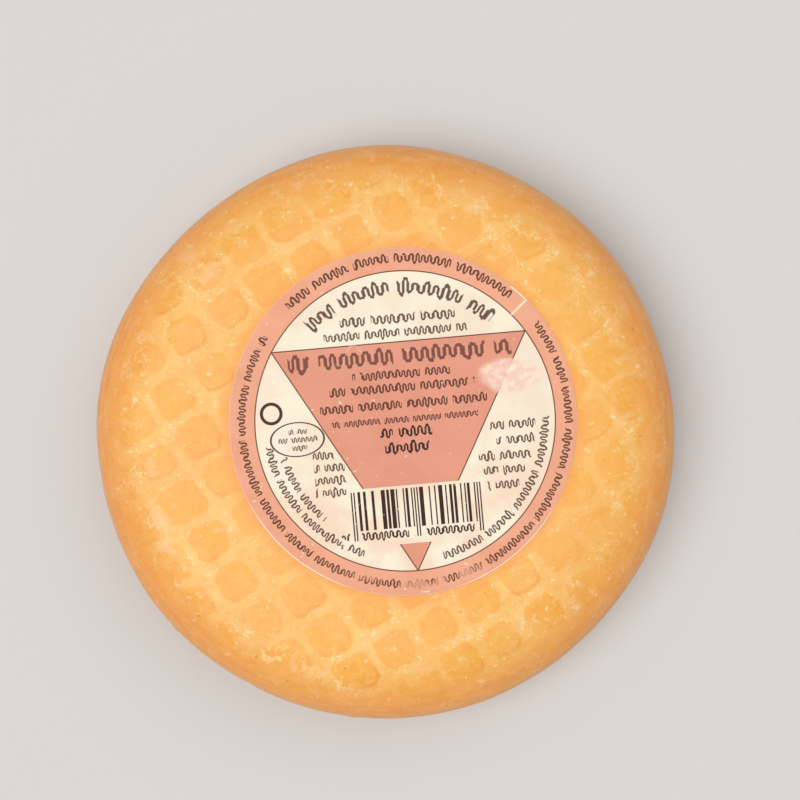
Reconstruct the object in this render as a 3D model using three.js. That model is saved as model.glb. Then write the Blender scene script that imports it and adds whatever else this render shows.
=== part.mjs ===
// A small cured cheese: one flat wheel with a bulging, fully rounded edge, and the round paper
// label that is stuck a little off centre on its top face.
//
// Millimetres, +Z up. The origin is the middle of the wheel's box, on the surface it rests on.

import * as THREE from 'three';

// The wheel
const WHEEL_DIAMETER = 110;
const WHEEL_HEIGHT = 27;
const FACE_RADIUS = 38; // both faces are flat this far out, then roll over into the edge
const EDGE_FULLNESS = 2.3; // 2 would be an ellipse, more is squarer at the shoulders
const EDGE_STEPS = 10; // steps from the equator to a face
const ROUND_STEPS = 96; // steps around the wheel

// A wheel pressed by hand is never quite round: each wave has so many lobes around the edge,
// stands out by so many millimetres, and has its first crest in this direction.
const OUTLINE_WAVES = [
  { lobes: 2, height: 0.25, crest: 12 },
  { lobes: 3, height: 0.15, crest: 76 },
  { lobes: 4, height: 0.22, crest: -7 },
  { lobes: 6, height: 0.14, crest: 39 },
];

// The label
const LABEL_DIAMETER = 64;
const LABEL_THICKNESS = 0.2; // paper and glue
const LABEL_OFFSET = new THREE.Vector2(3.3, 2.1); // where it was stuck, from the wheel's middle

// How far the edge stands in or out in one direction, given in radians
function outlineWave(direction) {
  let sum = 0;
  for (const wave of OUTLINE_WAVES) {
    const crest = THREE.MathUtils.degToRad(wave.crest);
    sum += wave.height * Math.cos(wave.lobes * (direction - crest));
  }
  return sum;
}

// Half of the wheel's section, from the middle of its base around the edge to the middle of its
// top. The edge is a superellipse: power 2 / EDGE_FULLNESS of the circle's sine and cosine.
function wheelSection() {
  const edgeReach = WHEEL_DIAMETER / 2 - FACE_RADIUS;
  const halfHeight = WHEEL_HEIGHT / 2;
  const power = 2 / EDGE_FULLNESS;
  const section = [new THREE.Vector2(0, 0)];
  for (let step = -EDGE_STEPS; step <= EDGE_STEPS; step += 1) {
    const turn = (step / EDGE_STEPS) * (Math.PI / 2);
    const out = Math.abs(step) === EDGE_STEPS ? 0 : Math.cos(turn) ** power;
    const up = Math.sign(turn) * Math.abs(Math.sin(turn)) ** power;
    section.push(new THREE.Vector2(FACE_RADIUS + edgeReach * out, halfHeight * (1 + up)));
  }
  section.push(new THREE.Vector2(0, WHEEL_HEIGHT));
  return section;
}

// The wheel is the turned section with its edge pushed in and out by the outline waves, which
// grow with the distance from the middle and leave every height as it is.
function makeWheel() {
  const geometry = new THREE.LatheGeometry(wheelSection(), ROUND_STEPS);
  geometry.rotateX(Math.PI / 2);
  const places = geometry.getAttribute('position');
  for (let index = 0; index < places.count; index += 1) {
    const x = places.getX(index);
    const y = places.getY(index);
    const grow = 1 + outlineWave(Math.atan2(y, x)) / (WHEEL_DIAMETER / 2);
    places.setXY(index, x * grow, y * grow);
  }
  geometry.computeBoundingBox();
  const middle = geometry.boundingBox.getCenter(new THREE.Vector3());
  geometry.translate(-middle.x, -middle.y, 0);
  geometry.computeVertexNormals();
  return geometry;
}

function makeLabel() {
  const radius = LABEL_DIAMETER / 2;
  const geometry = new THREE.CylinderGeometry(radius, radius, LABEL_THICKNESS, ROUND_STEPS);
  geometry.rotateX(Math.PI / 2);
  return geometry;
}

const rind = new THREE.MeshStandardMaterial({ color: 0xf4b264, roughness: 0.42, metalness: 0 });
const cheese = new THREE.Mesh(makeWheel(), rind);
cheese.name = 'cheese';

const paper = new THREE.MeshStandardMaterial({ color: 0xeec3a6, roughness: 0.55, metalness: 0 });
const label = new THREE.Mesh(makeLabel(), paper);
label.name = 'paper_label';
label.position.set(LABEL_OFFSET.x, LABEL_OFFSET.y, WHEEL_HEIGHT + LABEL_THICKNESS / 2);

const wheelOfCheese = new THREE.Group();
wheelOfCheese.add(cheese, label);

export default wheelOfCheese;
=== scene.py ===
import functools
import math
import random

import bmesh
import bpy
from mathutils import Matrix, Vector, kdtree, noise


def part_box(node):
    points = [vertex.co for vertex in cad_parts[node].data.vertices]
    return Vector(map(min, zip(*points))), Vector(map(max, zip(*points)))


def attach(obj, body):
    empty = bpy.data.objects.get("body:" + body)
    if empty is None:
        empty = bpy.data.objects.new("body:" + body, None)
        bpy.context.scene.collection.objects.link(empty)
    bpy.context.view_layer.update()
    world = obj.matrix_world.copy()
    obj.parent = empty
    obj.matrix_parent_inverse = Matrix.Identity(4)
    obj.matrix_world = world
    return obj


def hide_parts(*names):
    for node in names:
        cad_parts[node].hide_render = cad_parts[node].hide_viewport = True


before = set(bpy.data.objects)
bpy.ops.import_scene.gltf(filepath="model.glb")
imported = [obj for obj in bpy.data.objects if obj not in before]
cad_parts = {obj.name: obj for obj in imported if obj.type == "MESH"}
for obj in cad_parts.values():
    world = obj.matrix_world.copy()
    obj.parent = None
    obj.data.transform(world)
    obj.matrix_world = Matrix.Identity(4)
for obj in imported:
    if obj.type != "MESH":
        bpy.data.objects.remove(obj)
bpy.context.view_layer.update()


# The wheel of cheese. Curd pressed by hand in a small round mould lined with a coarse net, then
# cured: a flat wheel with a bulging side, whose oily rind keeps the print of the net on both faces.
# It is turned from its half section, and then each point is moved by what shaped the rind.

WHEEL_RADIUS = 0.055
WHEEL_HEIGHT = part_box("cheese")[1].z
FACE_RADIUS = 0.038
EDGE_FULLNESS = 2.3
FACE_STEPS = 56
EDGE_STEPS = 38
ROUND_STEPS = 500

# A hand-pressed wheel is never quite round: lobes, how far they stand out, and the first crest.
OUTLINE_WAVES = [
    (2, 0.00025, math.radians(12)),
    (3, 0.00015, math.radians(76)),
    (4, 0.00022, math.radians(-7)),
    (6, 0.00014, math.radians(39)),
]

# The net's strands run two ways, almost square to each other. Between them the curd swelled into
# pads, one of them at NET_START.
NET_START = Vector((-0.0020, -0.0018))
NET_STEP_ONE = 0.0088 * Vector((math.cos(math.radians(31)), math.sin(math.radians(31))))
NET_STEP_TWO = 0.0087 * Vector((math.cos(math.radians(-56.5)), math.sin(math.radians(-56.5))))
NET_WANDER = 0.0005
NET_SEED = 48  # the same wander each time
PAD_HALF = 0.405  # of a step
PAD_CORNER = 0.22
STRAND_DEPTH = 0.00008
NET_FULL = 0.0445  # from the middle, where the print is at its clearest
NET_END = 0.0520
PRESS_BEARING = math.radians(212)  # the side that the net was pressed into hardest

# Bits of curd that stuck to the shoulders and the side, and shallow pits in them: how many, how far
# they reach, and how far they stand out.
CRUMBS = 44
CRUMB_REACH = (0.0010, 0.0017)
CRUMB_HEIGHT = (0.00012, 0.00030)
PITS = 70
PIT_REACH = (0.0012, 0.0034)
PIT_HEIGHT = (-0.00028, -0.00008)
SCATTER_TURN = (-1.2, 1.25)  # from the middle of the side down and up around the edge, in radians

MAP_DISC = 0.288  # how far a half's disc reaches on the map, and its distance from the map's edge
MAP_EDGE = 0.003


def wheel_section():
    """The wheel's half section, from the middle of the base around the edge to the middle of the top."""
    power = 2 / EDGE_FULLNESS
    reaches = [FACE_RADIUS * step / FACE_STEPS for step in range(FACE_STEPS)]
    base = [(reach, 0) for reach in reaches]
    edge = []
    for step in range(-EDGE_STEPS, EDGE_STEPS + 1):
        turn = step / EDGE_STEPS * math.pi / 2
        out = max(math.cos(turn), 0) ** power
        up = math.copysign(abs(math.sin(turn)) ** power, turn)
        edge.append((FACE_RADIUS + (WHEEL_RADIUS - FACE_RADIUS) * out, WHEEL_HEIGHT / 2 * (1 + up)))
    top = [(reach, WHEEL_HEIGHT) for reach in reversed(reaches)]
    return base + edge + top


def ease(value, low, high):
    """0 below low and 1 above high, with a smooth step between."""
    share = min(max((value - low) / (high - low), 0), 1)
    return share * share * (3 - 2 * share)


def outline_wave(direction):
    return sum(height * math.cos(lobes * (direction - crest)) for lobes, height, crest in OUTLINE_WAVES)


def net_place(spot, face):
    """Where a spot lies on the net, counted in steps from the pad at the start. face is 1 or -1."""
    flat = Vector((face * spot.x, spot.y, 0.03 * face))
    wander = noise.noise_vector(flat * 60) * NET_WANDER + noise.noise_vector(flat * 220) * NET_WANDER * 0.7
    way = Vector((flat.x + wander.x, flat.y + wander.y)) - NET_START
    if face < 0:
        way = Vector((way.y, way.x + 0.003))
    whole = NET_STEP_ONE.cross(NET_STEP_TWO)
    return way.cross(NET_STEP_TWO) / whole, NET_STEP_ONE.cross(way) / whole


@functools.cache
def pad_kind(row, column, face):
    """The size, the depth of colour and the flouriness of the pad in one mesh of the net."""
    chance = random.Random(row * 811 + column * 97 + (3 if face > 0 else 5))
    return chance.uniform(0.85, 1.06), chance.uniform(0.4, 1.0), chance.random() ** 2


def pad_margin(one, two, size):
    """How far outside the nearest pad's rounded square a place is, in steps. Inside it is below 0."""
    half = PAD_HALF * size - PAD_CORNER
    across = abs(one - round(one)) - half
    along = abs(two - round(two)) - half
    return math.hypot(max(across, 0), max(along, 0)) + min(max(across, along), 0) - PAD_CORNER


def swell(spot):
    """The broad unevenness of the whole wheel, never above its full size."""
    return 0.00022 * (noise.noise(spot * 38) - 0.6) + 0.00008 * (noise.noise(spot * 110) - 0.6)


def net_strength(spot):
    """How clearly the net is printed at a spot: all of it on the faces, none on the side."""
    reach = math.hypot(spot.x, spot.y)
    ragged = 0.0018 * noise.noise(spot * 130)
    pressed = 0.68 + 0.17 * math.cos(math.atan2(spot.y, spot.x) - PRESS_BEARING)
    pressed += 0.45 * noise.noise(spot * 70 + Vector((3, 1, 4)))
    return (1 - ease(reach + ragged, NET_FULL, NET_END)) * min(max(pressed, 0.3), 1)


noise.seed_set(NET_SEED)
wheel = bmesh.new()
section = [wheel.verts.new((reach, 0, height)) for reach, height in wheel_section()]
outline = [wheel.edges.new(ends) for ends in zip(section, section[1:])]
bmesh.ops.spin(
    wheel,
    geom=section + outline,
    cent=(0, 0, 0),
    axis=(0, 0, 1),
    angle=math.tau,
    steps=ROUND_STEPS,
    use_merge=True,
)
bmesh.ops.remove_doubles(wheel, verts=wheel.verts, dist=1e-6)
bmesh.ops.recalc_face_normals(wheel, faces=wheel.faces)
for vert in wheel.verts:
    grow = 1 + outline_wave(math.atan2(vert.co.y, vert.co.x)) / WHEEL_RADIUS
    vert.co.x *= grow
    vert.co.y *= grow
middle_x = (min(v.co.x for v in wheel.verts) + max(v.co.x for v in wheel.verts)) / 2
middle_y = (min(v.co.y for v in wheel.verts) + max(v.co.y for v in wheel.verts)) / 2
bmesh.ops.translate(wheel, verts=wheel.verts, vec=(-middle_x, -middle_y, 0))
wheel.normal_update()
net_layer = wheel.verts.layers.float_vector.new("net_place")
pad_layer = wheel.verts.layers.float_vector.new("pad_kind")
moves = []
for vert in wheel.verts:
    spot = vert.co.copy()
    face = 1 if spot.z > WHEEL_HEIGHT / 2 else -1
    one, two = net_place(spot, face)
    kind = pad_kind(round(one), round(two), face)
    strength = net_strength(spot)
    vert[net_layer] = (one, two, strength)
    vert[pad_layer] = kind
    groove = STRAND_DEPTH * strength * ease(pad_margin(one, two, kind[0]), -0.05, 0.08)
    moves.append(vert.normal * (swell(spot) - groove))
for vert, move in zip(wheel.verts, moves):
    vert.co += move

# The crumbs and pits, strewn around the side.
wheel.verts.ensure_lookup_table()
nearby = kdtree.KDTree(len(wheel.verts))
for vert in wheel.verts:
    nearby.insert(vert.co, vert.index)
nearby.balance()
scatter = random.Random(41)
for number in range(CRUMBS + PITS):
    direction = scatter.uniform(0, math.tau)
    turn = scatter.uniform(*SCATTER_TURN)
    out = FACE_RADIUS + (WHEEL_RADIUS - FACE_RADIUS) * math.cos(turn) ** (2 / EDGE_FULLNESS)
    up = math.copysign(abs(math.sin(turn)) ** (2 / EDGE_FULLNESS), turn)
    spot = Vector((out * math.cos(direction), out * math.sin(direction), WHEEL_HEIGHT / 2 * (1 + up)))
    reach = scatter.uniform(*(CRUMB_REACH if number < CRUMBS else PIT_REACH))
    height = scatter.uniform(*(CRUMB_HEIGHT if number < CRUMBS else PIT_HEIGHT))
    for _, index, away in nearby.find_range(spot, reach):
        vert = wheel.verts[index]
        vert.co += vert.normal * height * (1 - ease(away, 0, reach))

# Each half of the wheel lies spread out as a disc of its own on the wheel's map.
map_layer = wheel.loops.layers.uv.new("OFBake")
for face in wheel.faces:
    upper = face.calc_center_median().z > WHEEL_HEIGHT / 2
    for loop in face.loops:
        spot = loop.vert.co
        reach = max(math.hypot(spot.x, spot.y), 1e-9)
        drop = WHEEL_HEIGHT - spot.z if upper else spot.z
        spread = MAP_DISC * (reach + drop) / (WHEEL_RADIUS + WHEEL_HEIGHT / 2) / reach
        corner = MAP_DISC + MAP_EDGE if upper else 1 - MAP_DISC - MAP_EDGE
        loop[map_layer].uv = (corner + spot.x * spread, corner + spot.y * spread)
wheel_mesh = bpy.data.meshes.new("cheese_wheel")
wheel.to_mesh(wheel_mesh)
wheel.free()
wheel_mesh.shade_smooth()
cheese_wheel = bpy.data.objects.new("cheese_wheel", wheel_mesh)
bpy.context.scene.collection.objects.link(cheese_wheel)


class Wire:
    """One output in a material's nodes. Sums on wires add Math nodes, and add() adds any other node."""

    def __init__(self, tree, socket=None):
        self.tree = tree
        self.socket = socket

    def add(self, kind, settings, sockets, output=0):
        """Adds a node of this kind, makes its settings, fills its sockets and gives one output."""
        node = self.tree.nodes.new("ShaderNode" + kind)
        for name, value in settings.items():
            setattr(node, name, value)
        for name, value in sockets.items():
            if isinstance(name, int):
                socket = node.inputs[name]
            else:
                socket = next(s for s in node.inputs if s.enabled and s.name == name)
            if isinstance(value, Wire):
                self.tree.links.new(value.socket, socket)
            else:
                socket.default_value = value
        if isinstance(output, str):
            return Wire(self.tree, next(s for s in node.outputs if s.enabled and s.name == output))
        return Wire(self.tree, [s for s in node.outputs if s.enabled][output] if node.outputs else None)

    def math(self, operation, *others):
        """Adds a Math node whose first value is this wire."""
        return self.add("Math", {"operation": operation}, dict(enumerate((self, *others))))

    def __add__(self, other):
        return self.math("ADD", other)

    def __sub__(self, other):
        return self.math("SUBTRACT", other)

    def __rsub__(self, other):
        return self.add("Math", {"operation": "SUBTRACT"}, {0: other, 1: self})

    def __mul__(self, other):
        return self.math("MULTIPLY", other)

    def __truediv__(self, other):
        return self.math("DIVIDE", other)

    def __abs__(self):
        return self.math("ABSOLUTE")

    def __gt__(self, other):
        return self.math("GREATER_THAN", other)

    def __lt__(self, other):
        return self.math("LESS_THAN", other)

    __radd__ = __add__
    __rmul__ = __mul__

    def most(self, other):
        return self.math("MAXIMUM", other)

    def least(self, other):
        return self.math("MINIMUM", other)

    def hypot(self, other):
        """The length of the way this far one way and that far square to it."""
        return (self * self + other * other).math("SQRT")

    def ease(self, low, high):
        """0 on the low side and 1 on the high side, with a smooth step between."""
        ends = {"Value": self, "From Min": low, "From Max": high}
        return self.add("MapRange", {"interpolation_type": "SMOOTHSTEP"}, ends)

    def mix(self, none, full):
        """The colour none where this wire is 0, and the colour full where it is 1."""
        return self.add("Mix", {"data_type": "RGBA"}, {"Factor": self, "A": none, "B": full})

    def split(self):
        parts = self.add("SeparateXYZ", {}, {"Vector": self}, "X")
        node = parts.socket.node
        return tuple(Wire(self.tree, node.outputs[axis]) for axis in "XYZ")


def tint(red, green, blue):
    """A colour given as a paint chart gives it, from 0 to 255, as the materials take it."""
    shares = [channel / 255 for channel in (red, green, blue)]
    return tuple(s / 12.92 if s <= 0.04045 else ((s + 0.055) / 1.055) ** 2.4 for s in shares) + (1,)


def new_finish(name):
    """A material with no nodes yet, and the wire that its nodes start from."""
    finish = bpy.data.materials.new(name)
    finish.use_nodes = True
    finish.node_tree.nodes.clear()
    return finish, Wire(finish.node_tree)


LABEL_MIDDLE = (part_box("paper_label")[0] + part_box("paper_label")[1]) / 2
LABEL_RADIUS = 0.032

rind, start = new_finish("cheese_rind")
place = start.add("TexCoord", {}, {}, "Object")
x, y, z = place.split()
one, two, strength = start.add("Attribute", {"attribute_name": "net_place"}, {}, "Vector").split()
size, depth, flour = start.add("Attribute", {"attribute_name": "pad_kind"}, {}, "Vector").split()


def grain(scale, detail=2.0, roughness=0.5, where=place, curl=0.0):
    """Soft noise around a half, with this many grains to a metre, more or less drawn out into curls."""
    size_and_detail = {"Scale": scale, "Detail": detail, "Roughness": roughness}
    return start.add("TexNoise", {}, {"Vector": where, **size_and_detail, "Distortion": curl}, "Fac")


ragged_one = one + (grain(380.0, 4.0, 0.6) - 0.5) * 0.24
ragged_two = two + (grain(393.0, 4.0, 0.6) - 0.5) * 0.24
half = size * PAD_HALF - PAD_CORNER
pad_one = ragged_one - ragged_one.math("ROUND")
pad_two = ragged_two - ragged_two.math("ROUND")
across = abs(pad_one) - half
along = abs(pad_two) - half
margin = across.most(0.0).hypot(along.most(0.0)) + across.most(along).least(0.0) - PAD_CORNER
pad = (1 - margin.ease(-0.045, 0.035)) * strength
strand = margin.ease(-0.020, 0.055) * strength

# The ground colour: golden pads, paler strips between them, both of them cloudy.
reach = x.hypot(y)
shoulder = reach.ease(0.0405, 0.0450) * (1 - reach.ease(0.0500, 0.0530))
blotch = grain(45.0, 3.0)
mottle = grain(300.0, 4.0, 0.6)
cloud = grain(140.0, 2.0)
wisps = grain(520.0, 4.0, 0.65, curl=1.6)
ground = blotch.ease(0.35, 0.68).mix(tint(234, 173, 82), tint(233, 164, 77))
pale = mottle.ease(0.38, 0.66).mix(tint(234, 181, 98), tint(238, 194, 116))
deep = mottle.ease(0.35, 0.70).mix(tint(231, 159, 46), tint(234, 173, 62))
skin = (strand * 0.9).mix(ground, pale)
skin = (pad * depth).mix(skin, deep)
skin = (pad * flour * cloud.ease(0.45, 0.62) * 0.6).mix(skin, tint(234, 177, 98))
skin = (wisps.ease(0.40, 0.64) * (0.15 + 0.25 * strand + 0.15 * shoulder)).mix(skin, tint(238, 193, 116))
skin = ((1 - wisps.ease(0.30, 0.46)) * 0.3).mix(skin, tint(228, 152, 66))

# Painted shade: just inside a pad's swollen edge, on one side only, the rind is painted a little darker,
# as the shade on the side of that edge turned from the light.
pad_edge_shade = margin.ease(-0.10, -0.05) * (1 - margin.ease(-0.03, 0.0)) * cloud.ease(0.47, 0.58)
skin = (pad_edge_shade * pad_two.ease(0.05, 0.30) * strength * 0.6).mix(skin, tint(224, 142, 56))

# Dried whey and loose crumbs of curd lie in the strips and on the shoulders, in flecks, threads
# and small clusters, and make a pale film between them.
cluster = grain(170.0, 3.0, 0.6)
specks = grain(900.0, 3.0, 0.6).ease(0.60, 0.68) * cluster.ease(0.46, 0.62)
curls = 1 - abs(grain(380.0, 3.0, 0.6, curl=2.2) - 0.5).ease(0.012, 0.042)
curls = curls * grain(260.0, 2.0).ease(0.56, 0.64)
lone = grain(760.0, 1.0).ease(0.73, 0.77)
knots = grain(420.0, 3.0, 0.6).ease(0.64, 0.68)
sheltered = (0.20 + 0.80 * strand + 0.25 * flour * pad + 0.4 * shoulder).least(1.0)
bloom = (specks.most(curls).most(knots) * sheltered).most(lone * 0.8)
film = cluster.ease(0.50, 0.66) * (0.15 + 0.85 * strand).most(shoulder * 0.8)
skin = (film * 0.35).mix(skin, tint(238, 199, 132))
skin = (bloom * 0.8).mix(skin, tint(244, 219, 163))
chalky = grain(110.0, 4.0, 0.65).ease(0.58, 0.68) * shoulder
skin = (chalky * 0.6).mix(skin, tint(238, 196, 150))

# Out on the side the rind dried harder and browner, with streaks where the mould slid on it, and
# it is palest and dullest around the middle.
around = y.math("ARCTAN2", x)
streak_place = start.add(
    "CombineXYZ",
    {},
    {"X": around.math("COSINE") * 3.0, "Y": around.math("SINE") * 3.0, "Z": z * 420.0},
)
streaks = grain(2.4, 5.0, 0.6, where=streak_place)
side = (reach + (streaks - 0.5) * 0.005 + (mottle - 0.5) * 0.004).ease(0.0435, 0.0535)
brown = streaks.ease(0.36, 0.64).mix(tint(226, 142, 66), tint(232, 160, 88))
skin = (side * 0.75).mix(skin, brown)
waist = 1 - abs(z - WHEEL_HEIGHT / 2).ease(0.003, 0.0085)
skin = (waist * 0.45).mix(skin, tint(223, 167, 112))
skin = (side * (bloom * 0.5).most(curls * 0.45)).mix(skin, tint(238, 200, 146))
burnt = grain(60.0, 4.0, 0.6).ease(0.56, 0.68) * side
skin = (burnt * 0.3).mix(skin, tint(216, 132, 60))
dirt = grain(900.0, 0.0).ease(0.86, 0.88)
skin = (dirt * 0.6).mix(skin, tint(184, 116, 50))

# Oil creeps out from under the label and darkens the rind beside it; the darker band is also painted shade
# along the label's edge.
label_reach = (x - LABEL_MIDDLE.x).hypot(y - LABEL_MIDDLE.y) + (grain(160.0) - 0.5) * 0.002
oil_and_edge_shade = (1 - label_reach.ease(LABEL_RADIUS, LABEL_RADIUS + 0.0028)) * z.ease(0.02, 0.025)
skin = (oil_and_edge_shade * 0.55).mix(skin, tint(233, 150, 62))

dull = 0.42 + 0.10 * strand + 0.16 * bloom + (mottle - 0.5) * 0.2 + 0.08 * waist + chalky * 0.1
relief = mottle * 0.35 + wisps * 0.5 + grain(1500.0, 3.0, 0.6) * 0.2 + bloom * 0.45 + streaks * side * 0.7
bump = start.add("Bump", {}, {"Strength": 0.5, "Distance": 0.00010, "Height": relief})
surface = start.add(
    "BsdfPrincipled",
    {},
    {
        "Base Color": skin,
        "Roughness": dull,
        "Normal": bump,
        "Subsurface Weight": 0.2,
        "Subsurface Radius": (1.0, 0.42, 0.12),
        "Subsurface Scale": 0.0015,
        "IOR": 1.45,
    },
)
start.add("OutputMaterial", {}, {"Surface": surface})
wheel_mesh.materials.append(rind)

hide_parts("cheese")
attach(cheese_wheel, "root")


# The label. A round self-adhesive paper, die-cut, printed in two colours and pressed on by hand a
# little off centre. It bridges the marks of the net, so that they show through it only faintly.
# A thin disc is set in rings, raised to the rind under it, and coloured in its own coordinates.

LABEL_THICKNESS = 0.00016
LABEL_LIFT = 0.00004
LABEL_RINGS = 64
LABEL_STEPS = 256
CUT_ROUND = 0.00004
LOOSE_RISE = 0.00010  # the edge came unstuck a little on both sides of its foot
LOOSE_WIDTH = 0.0022
LOOSE_FROM = (math.radians(15), math.radians(28))
LOOSE_TO = (math.radians(52), math.radians(66))
MAP_TOP = 0.480
MAP_CUT = 0.015
MAP_GLUED = 0.075


def paper_rise(spot):
    """How far the paper stands off the wheel's full height at a spot."""
    out = Vector((spot.x - LABEL_MIDDLE.x, spot.y - LABEL_MIDDLE.y))
    turned = abs(math.atan2(out.x, -out.y))
    loose = ease(turned, *LOOSE_FROM) * (1 - ease(turned, *LOOSE_TO))
    curl = LOOSE_RISE * loose * ease(out.length, LABEL_RADIUS - LOOSE_WIDTH, LABEL_RADIUS)
    on_top = Vector((spot.x, spot.y, WHEEL_HEIGHT))
    one, two = net_place(on_top, 1)
    size = pad_kind(round(one), round(two), 1)[0]
    groove = STRAND_DEPTH * net_strength(on_top) * ease(pad_margin(one, two, size), -0.1, 0.25)
    return swell(on_top) - 0.28 * groove + LABEL_LIFT + curl


label = bmesh.new()
flat_reach = LABEL_RADIUS - CUT_ROUND
rings = [flat_reach * step / LABEL_RINGS for step in range(LABEL_RINGS + 1)]
under = [(reach, 0) for reach in rings]
over = [(reach, LABEL_THICKNESS) for reach in reversed(rings)]
cut = [(LABEL_RADIUS, CUT_ROUND), (LABEL_RADIUS, LABEL_THICKNESS - CUT_ROUND)]
section = [label.verts.new((reach, 0, height)) for reach, height in under + cut + over]
outline = [label.edges.new(ends) for ends in zip(section, section[1:])]
bmesh.ops.spin(
    label,
    geom=section + outline,
    cent=(0, 0, 0),
    axis=(0, 0, 1),
    angle=math.tau,
    steps=LABEL_STEPS,
    use_merge=True,
)
bmesh.ops.remove_doubles(label, verts=label.verts, dist=1e-6)
bmesh.ops.recalc_face_normals(label, faces=label.faces)
label.normal_update()
bmesh.ops.translate(label, verts=label.verts, vec=(LABEL_MIDDLE.x, LABEL_MIDDLE.y, WHEEL_HEIGHT))

# The top fills the label's map, with the cut edge just around it and the glued side in a corner.
map_layer = label.loops.layers.uv.new("OFBake")
for face in label.faces:
    glued = face.normal.z < -0.5
    for loop in face.loops:
        out = loop.vert.co - Vector((LABEL_MIDDLE.x, LABEL_MIDDLE.y, WHEEL_HEIGHT))
        share = MAP_GLUED if glued else MAP_TOP + MAP_CUT * (out.z < LABEL_THICKNESS / 2)
        middle = MAP_GLUED + MAP_EDGE if glued else 0.5
        loop[map_layer].uv = (middle + share * out.x / LABEL_RADIUS, middle + share * out.y / LABEL_RADIUS)
for vert in label.verts:
    vert.co.z += paper_rise(vert.co)
label_mesh = bpy.data.meshes.new("round_label")
label.to_mesh(label_mesh)
label.free()
label_mesh.shade_smooth()
round_label = bpy.data.objects.new("round_label", label_mesh)
bpy.context.scene.collection.objects.link(round_label)

# The print is laid out in metres across and up from the middle of its inner circle, which the die
# missed a little. Words are wavy strokes: no lettering, only the weight and the place of the lines.

PRINT_TURN = math.radians(5)
PRINT_MISS = Vector((0.00045, 0.00013))
FIELD_RADIUS = 0.0276
LINE_HALF = 0.00011
PANEL_TOP = 0.0146
PANEL_LEAN = math.atan2(FIELD_RADIUS + PANEL_TOP, math.sqrt(FIELD_RADIUS**2 - PANEL_TOP**2))
CODE_TOP = -0.0118
CODE_FOOT = -0.0225
BARS_MIDDLE = Vector((0.0008, -0.0159))
BARS_HALF = Vector((0.01197, 0.0036))
BARS_TALL = 0.0018  # how much lower the guard bars reach
BAR_COUNT = 95

BROWN_INK = tint(76, 37, 25)
GREY_INK = tint(120, 72, 60)
BLACK_INK = tint(54, 27, 20)

# Straight lines of words: the middle across and up, half the length, and the height.
BROWN_LINES = [
    (0.0002, 0.0189, 0.0106, 0.0023),
    (-0.0004, 0.0163, 0.0132, 0.0020),
    (0.0, 0.0087, 0.0090, 0.0020),
    (0.0, 0.0062, 0.0134, 0.0021),
    (0.0, 0.0031, 0.0154, 0.0021),
    (0.0, 0.0003, 0.0135, 0.0015),
    (-0.0152, -0.0051, 0.0023, 0.0019),
    (-0.0146, -0.0074, 0.0028, 0.0019),
    (-0.0144, -0.0097, 0.0030, 0.0019),
    (-0.0147, -0.0120, 0.0028, 0.0019),
    (0.0196, -0.0023, 0.0042, 0.0020),
    (0.0199, -0.0051, 0.0035, 0.0020),
    (0.0177, -0.0079, 0.0048, 0.0020),
    (0.0174, -0.0105, 0.0038, 0.0020),
    (0.0170, -0.0132, 0.0029, 0.0020),
    (-0.0198, -0.0003, 0.0017, 0.0013),
    (-0.0199, -0.0018, 0.0036, 0.0013),
    (-0.0200, -0.0033, 0.0017, 0.0013),
]
GREY_LINES = [(0.0, 0.0120, 0.0206, 0.0038)]
BLACK_LINES = [
    (0.0, -0.0020, 0.0048, 0.0024),
    (0.0, -0.0049, 0.0041, 0.0024),
    (-0.0127, -0.0206, 0.0008, 0.0020),
    (-0.0049, -0.0206, 0.0048, 0.0020),
    (0.0070, -0.0206, 0.0048, 0.0020),
]

# Curved lines: how far out, the bearing of the middle, half the angle, and the height.
BROWN_CURVES = [
    (0.0246, math.radians(88), math.radians(43), 0.0033),
    (0.0255, math.radians(217), math.radians(31), 0.0019),
    (0.0233, math.radians(209), math.radians(17), 0.0019),
    (0.0257, math.radians(-41), math.radians(38), 0.0020),
    (0.0300, math.radians(88), math.radians(43), 0.0022),
    (0.0300, math.radians(268), math.radians(124), 0.0019),
]
SEAM_BEARING = math.radians(40)
SEAM_REACH = math.radians(7)
RING_MIDDLE = Vector((-0.0244, 0.0034))
RING_RADIUS = 0.0018
OVAL_MIDDLE = Vector((-0.0200, -0.0017))
OVAL_HALF = Vector((0.0049, 0.0031))
PICTURE_MIDDLE = Vector((0.0203, 0.0066))
PICTURE_HALF = Vector((0.0062, 0.0034))
TEAR_MIDDLE = Vector((0.0010, -0.0316))
TEAR_HALF = Vector((0.0007, 0.00014))

paper, start = new_finish("label_paper")
place = start.add("TexCoord", {}, {}, "Object")
x, y, z = place.split()
east = x - LABEL_MIDDLE.x
north = y - LABEL_MIDDLE.y
die_reach = east.hypot(north)
right = east * math.cos(PRINT_TURN) + north * math.sin(PRINT_TURN) - PRINT_MISS.x
up = north * math.cos(PRINT_TURN) - east * math.sin(PRINT_TURN) - PRINT_MISS.y
field_reach = right.hypot(up)


def stripe(off, half):
    """1 where off is nearer to 0 than half, with an edge as soft as ink on paper."""
    return 1 - abs(off).ease(half - 0.00005, half + 0.00005)


class Line:
    """One line of words: where it may have ink, and the place along and above it in line heights."""

    def __init__(self, along, off, half_length, height, number):
        self.inside = (abs(along) < half_length) * (abs(off) < height * 0.55)
        self.along = self.inside * (along / height + 37.0 * (number + 1))
        self.above = self.inside * (off / height)


def straight_line(number, across, high, half_length, height):
    return Line(right - across, up - high, half_length, height, number)


def curved_line(number, radius, bearing, half_angle, height):
    ahead = right * math.cos(bearing) + up * math.sin(bearing)
    beside = up * math.cos(bearing) - right * math.sin(bearing)
    along = beside.math("ARCTAN2", ahead) * radius
    return Line(along, field_reach - radius, radius * half_angle, height, number)


def total(parts):
    """The sum of some wires."""
    return functools.reduce(Wire.__add__, parts)


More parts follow.
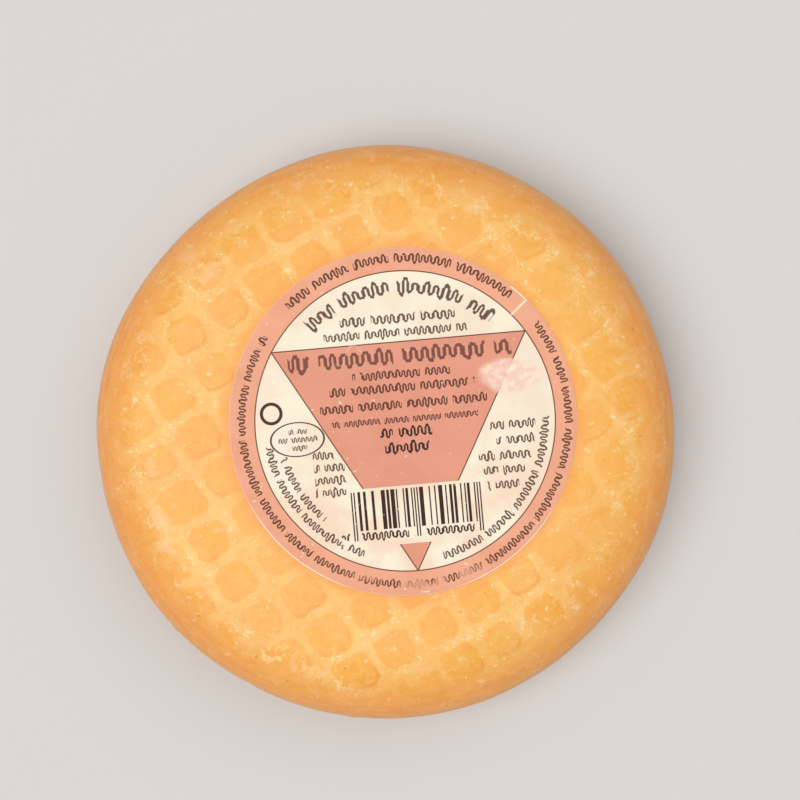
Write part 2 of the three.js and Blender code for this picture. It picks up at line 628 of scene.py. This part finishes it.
grey_lines = [straight_line(number, *line) for number, line in enumerate(GREY_LINES)]
black_lines = [straight_line(number + 3, *line) for number, line in enumerate(BLACK_LINES)]
brown_lines = [straight_line(number + 10, *line) for number, line in enumerate(BROWN_LINES)]
brown_lines += [curved_line(number + 41, *line) for number, line in enumerate(BROWN_CURVES)]
lines = grey_lines + black_lines + brown_lines
along = total(line.along for line in lines)
above = total(line.above for line in lines)


def unevenness(scale, shift):
    """Noise along the lines, about 0."""
    sockets = {"W": along * scale + shift, "Scale": 1.0, "Detail": 1.0}
    return start.add("TexNoise", {"noise_dimensions": "1D"}, sockets, "Fac") - 0.5


# A word is one wavy stroke: upright stems joined by half circles, over and under in turn, uneven
# in their height and pace, with a gap before the next word. Lengths here are in line heights.
STEM_STEP = 0.28
STEM_HALF = 0.16
STROKE_HALF = 0.085
paced = (along + unevenness(0.7, 5.0) * 0.45) / STEM_STEP
stem = paced.math("FLOOR")
from_bow = (paced - stem - 0.5) * STEM_STEP
rise = above * (1.05 - unevenness(1.2, 60.0) * 1.2) - unevenness(0.8, 75.0) * 0.2
rise = rise * (1 - 2 * stem.math("MODULO", 2.0))
off_bow = from_bow.hypot((rise - STEM_HALF).most(0.0)) - STEM_STEP / 2
off_stroke = off_bow.hypot((0 - rise - STEM_HALF).most(0.0)) - STROKE_HALF
word_gap = start.add(
    "TexVoronoi",
    {"voronoi_dimensions": "1D", "feature": "DISTANCE_TO_EDGE"},
    {"W": along / 4.6, "Scale": 1.0, "Randomness": 0.85},
    "Distance",
).ease(0.042, 0.056)
strokes = (1 - off_stroke.ease(-0.025, 0.025)) * word_gap
grey_words = total(line.inside for line in grey_lines) * strokes
black_words = total(line.inside for line in black_lines) * strokes
brown_words = total(line.inside for line in brown_lines) * strokes


def grain_on_paper(scale, detail=2.0):
    """Soft noise around a half over the sheet, with this many grains to a metre."""
    return place.add("TexNoise", {}, {"Vector": place, "Scale": scale, "Detail": detail}, "Fac")


sheet = grain_on_paper(130.0, 4.0)
fibre = grain_on_paper(2600.0)
fleck = grain_on_paper(900.0)
field = field_reach.ease(FIELD_RADIUS - 0.00004, FIELD_RADIUS + 0.00004)
panel_top = up - PANEL_TOP
panel_side = abs(right) * math.sin(PANEL_LEAN) - (up + FIELD_RADIUS) * math.cos(PANEL_LEAN)
panel_edge = panel_top.most(panel_side)
code_block = stripe(up - (CODE_TOP + CODE_FOOT) / 2, (CODE_TOP - CODE_FOOT) / 2)
panel = (1 - panel_edge.ease(-0.00004, 0.00004)) * (1 - code_block)
panel_line = stripe(panel_edge, LINE_HALF) * (1 - code_block) * (1 - field)
circle_line = stripe(field_reach - FIELD_RADIUS, LINE_HALF)

# The bars: longer guard bars at both ends and in the middle, and between them bars and gaps whose
# widths are left to chance, so that they stand for no number.
bar = (right - BARS_MIDDLE.x + BARS_HALF.x) * (BAR_COUNT / (2 * BARS_HALF.x))
bar_number = bar.math("FLOOR")
chance = start.add("TexWhiteNoise", {"noise_dimensions": "1D"}, {"W": bar_number + 0.5}, "Value")
from_middle = abs(bar_number - (BAR_COUNT - 1) / 2)
guard = (from_middle < 2.5).most(from_middle > BAR_COUNT / 2 - 3)
guard_bar = bar_number.math("MODULO", 2.0) < 0.5
pause = bar_number.math("MODULO", 3.5) < 1.0
inked = (guard * guard_bar).most((1 - guard) * (1 - pause) * (chance > 0.36))
bars_low = up - BARS_MIDDLE.y + guard * (BARS_TALL / 2)
bars_tall = stripe(bars_low, BARS_HALF.y + guard * (BARS_TALL / 2))
bars = inked * stripe(right - BARS_MIDDLE.x, BARS_HALF.x) * bars_tall

# The seam in the print, where the ends of its repeat meet.
bearing = up.math("ARCTAN2", right)
seam = stripe((bearing - SEAM_BEARING) * field_reach, 0.00018) * field
rim = die_reach.ease(LABEL_RADIUS - 0.00034, LABEL_RADIUS - 0.00026)
seam = seam.most(rim * stripe((bearing - SEAM_BEARING - SEAM_REACH / 2), SEAM_REACH / 2))


def from_ellipse(middle, half):
    """How far outside an ellipse a place is, roughly, in metres."""
    reach = ((right - middle.x) / half.x).hypot((up - middle.y) / half.y)
    return (reach - 1) * min(half)


small_ring = stripe(from_ellipse(RING_MIDDLE, Vector((RING_RADIUS, RING_RADIUS))), 0.0003)
oval_line = stripe(from_ellipse(OVAL_MIDDLE, OVAL_HALF), LINE_HALF)
picture = from_ellipse(PICTURE_MIDDLE, PICTURE_HALF) + (sheet - 0.5) * 0.003
picture = (1 - picture.ease(-0.0008, 0.0004)) * (1 - field)

cream = sheet.ease(0.40, 0.64).mix(tint(235, 226, 205), tint(234, 216, 195))
salmon = sheet.ease(0.35, 0.70).mix(tint(219, 149, 125), tint(213, 143, 120))
peach = sheet.ease(0.35, 0.70).mix(tint(229, 164, 135), tint(223, 158, 128))
stain = fleck.ease(0.38, 0.62).mix(tint(232, 194, 178), tint(239, 216, 200))
grubby = sheet.ease(0.40, 0.60) * (1 - up.ease(-0.017, -0.003))
cream = (grubby * 0.6).mix(cream, tint(233, 202, 178))
oily = grain_on_paper(75.0, 3.0).ease(0.50, 0.66)
peach = (oily * 0.5).mix(peach, tint(220, 146, 112))
colour = panel.mix(cream, salmon)
colour = field.mix(colour, peach)
colour = panel_line.most(circle_line).mix(colour, tint(100, 58, 46))
colour = (picture * 0.85).mix(colour, stain)
faded = grain_on_paper(260.0, 3.0).ease(0.40, 0.60) * (1 - up.ease(-0.0285, -0.0255))
colour = (brown_words * (0.92 - faded * 0.6)).mix(colour, BROWN_INK)
colour = grey_words.mix(colour, GREY_INK)
colour = black_words.most(bars).mix(colour, BLACK_INK)
colour = small_ring.most(oval_line).mix(colour, BROWN_INK)
colour = (seam * 0.8).mix(colour, tint(246, 231, 203))

# Creases: a few pale threads where the sheet was bent.
bend = 1 - abs(grain_on_paper(150.0) - 0.5).ease(0.002, 0.010)
bend = bend * grain_on_paper(75.0).ease(0.56, 0.62) * field_reach.ease(0.030, 0.026)
colour = (bend * 0.35).mix(colour, tint(246, 218, 203))

# Wear and painted highlight: the cut edge shows the white of the paper, and where the edge lifts it
# is painted whiter and wider as a painted glint; the ink has tiny flecks where it wore off.
turned = abs(east.math("ARCTAN2", 0 - north))
loose = turned.ease(*LOOSE_FROM) * (1 - turned.ease(*LOOSE_TO))
cut_edge_and_glint = (die_reach + loose * 0.00007).ease(LABEL_RADIUS - 0.00020, LABEL_RADIUS - 0.00008)
tear = from_ellipse(TEAR_MIDDLE, TEAR_HALF) + (fleck - 0.5) * 0.0004
tear = 1 - tear.ease(-0.00005, 0.00005)
wear_and_glint = (cut_edge_and_glint * (0.3 + 0.4 * loose)).most(fleck.ease(0.71, 0.75) * 0.5).most(tear)
colour = wear_and_glint.mix(colour, tint(247, 240, 228))

bump = start.add("Bump", {}, {"Strength": 0.3, "Distance": 0.00004, "Height": fibre * 0.5 + sheet})
surface = start.add(
    "BsdfPrincipled",
    {},
    {
        "Base Color": colour,
        "Roughness": 0.42 + sheet * 0.15,
        "Normal": bump,
        "Specular IOR Level": 0.15,
    },
)
start.add("OutputMaterial", {}, {"Surface": surface})
label_mesh.materials.append(paper)

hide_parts("paper_label")
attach(round_label, "root")


# The stage. A plain pale floor as wide as the eye can see, one broad soft light from the lower left
# with a weak one across from it, and a camera that looks straight down on the wheel.

FLOOR_RADIUS = 25.0
FLOOR_STEPS = 128
CAMERA_PLACE = Vector((0.0028, 0.0061, 0.3135))
CAMERA_ANGLE = math.radians(28.77)

floor = bmesh.new()
bmesh.ops.create_circle(floor, cap_ends=True, segments=FLOOR_STEPS, radius=FLOOR_RADIUS)
floor_mesh = bpy.data.meshes.new("floor")
floor.to_mesh(floor_mesh)
floor.free()
floor_object = bpy.data.objects.new("floor", floor_mesh)
bpy.context.scene.collection.objects.link(floor_object)
floor_finish, start = new_finish("floor")
surface = start.add("BsdfPrincipled", {}, {"Base Color": (0.60, 0.59, 0.58, 1), "Roughness": 0.9})
start.add("OutputMaterial", {}, {"Surface": surface})
floor_mesh.materials.append(floor_finish)


def soft_light(name, direction, spread, strength):
    """A broad, even light that comes from one direction and is this wide, in radians."""
    lamp = bpy.data.lights.new(name, "SUN")
    lamp.angle = spread
    lamp.energy = strength
    lamp.color = (1.0, 0.98, 0.96)
    light = bpy.data.objects.new(name, lamp)
    light.location = direction
    light.rotation_euler = direction.to_track_quat("Z", "Y").to_euler()
    bpy.context.scene.collection.objects.link(light)


soft_light("key_light", Vector((-0.28, -0.12, 0.88)), math.radians(46), 2.06)
soft_light("fill_light", Vector((0.32, 0.34, 0.80)), math.radians(46), 0.52)

world = bpy.data.worlds.new("room")
world.use_nodes = True
world.node_tree.nodes["Background"].inputs["Color"].default_value = (1.0, 0.99, 0.97, 1)
world.node_tree.nodes["Background"].inputs["Strength"].default_value = 0.40
bpy.context.scene.world = world

lens = bpy.data.cameras.new("camera")
lens.angle = CAMERA_ANGLE
camera = bpy.data.objects.new("camera", lens)
camera.location = CAMERA_PLACE
bpy.context.scene.collection.objects.link(camera)
bpy.context.scene.camera = camera
bpy.context.scene.view_settings.view_transform = "Standard"
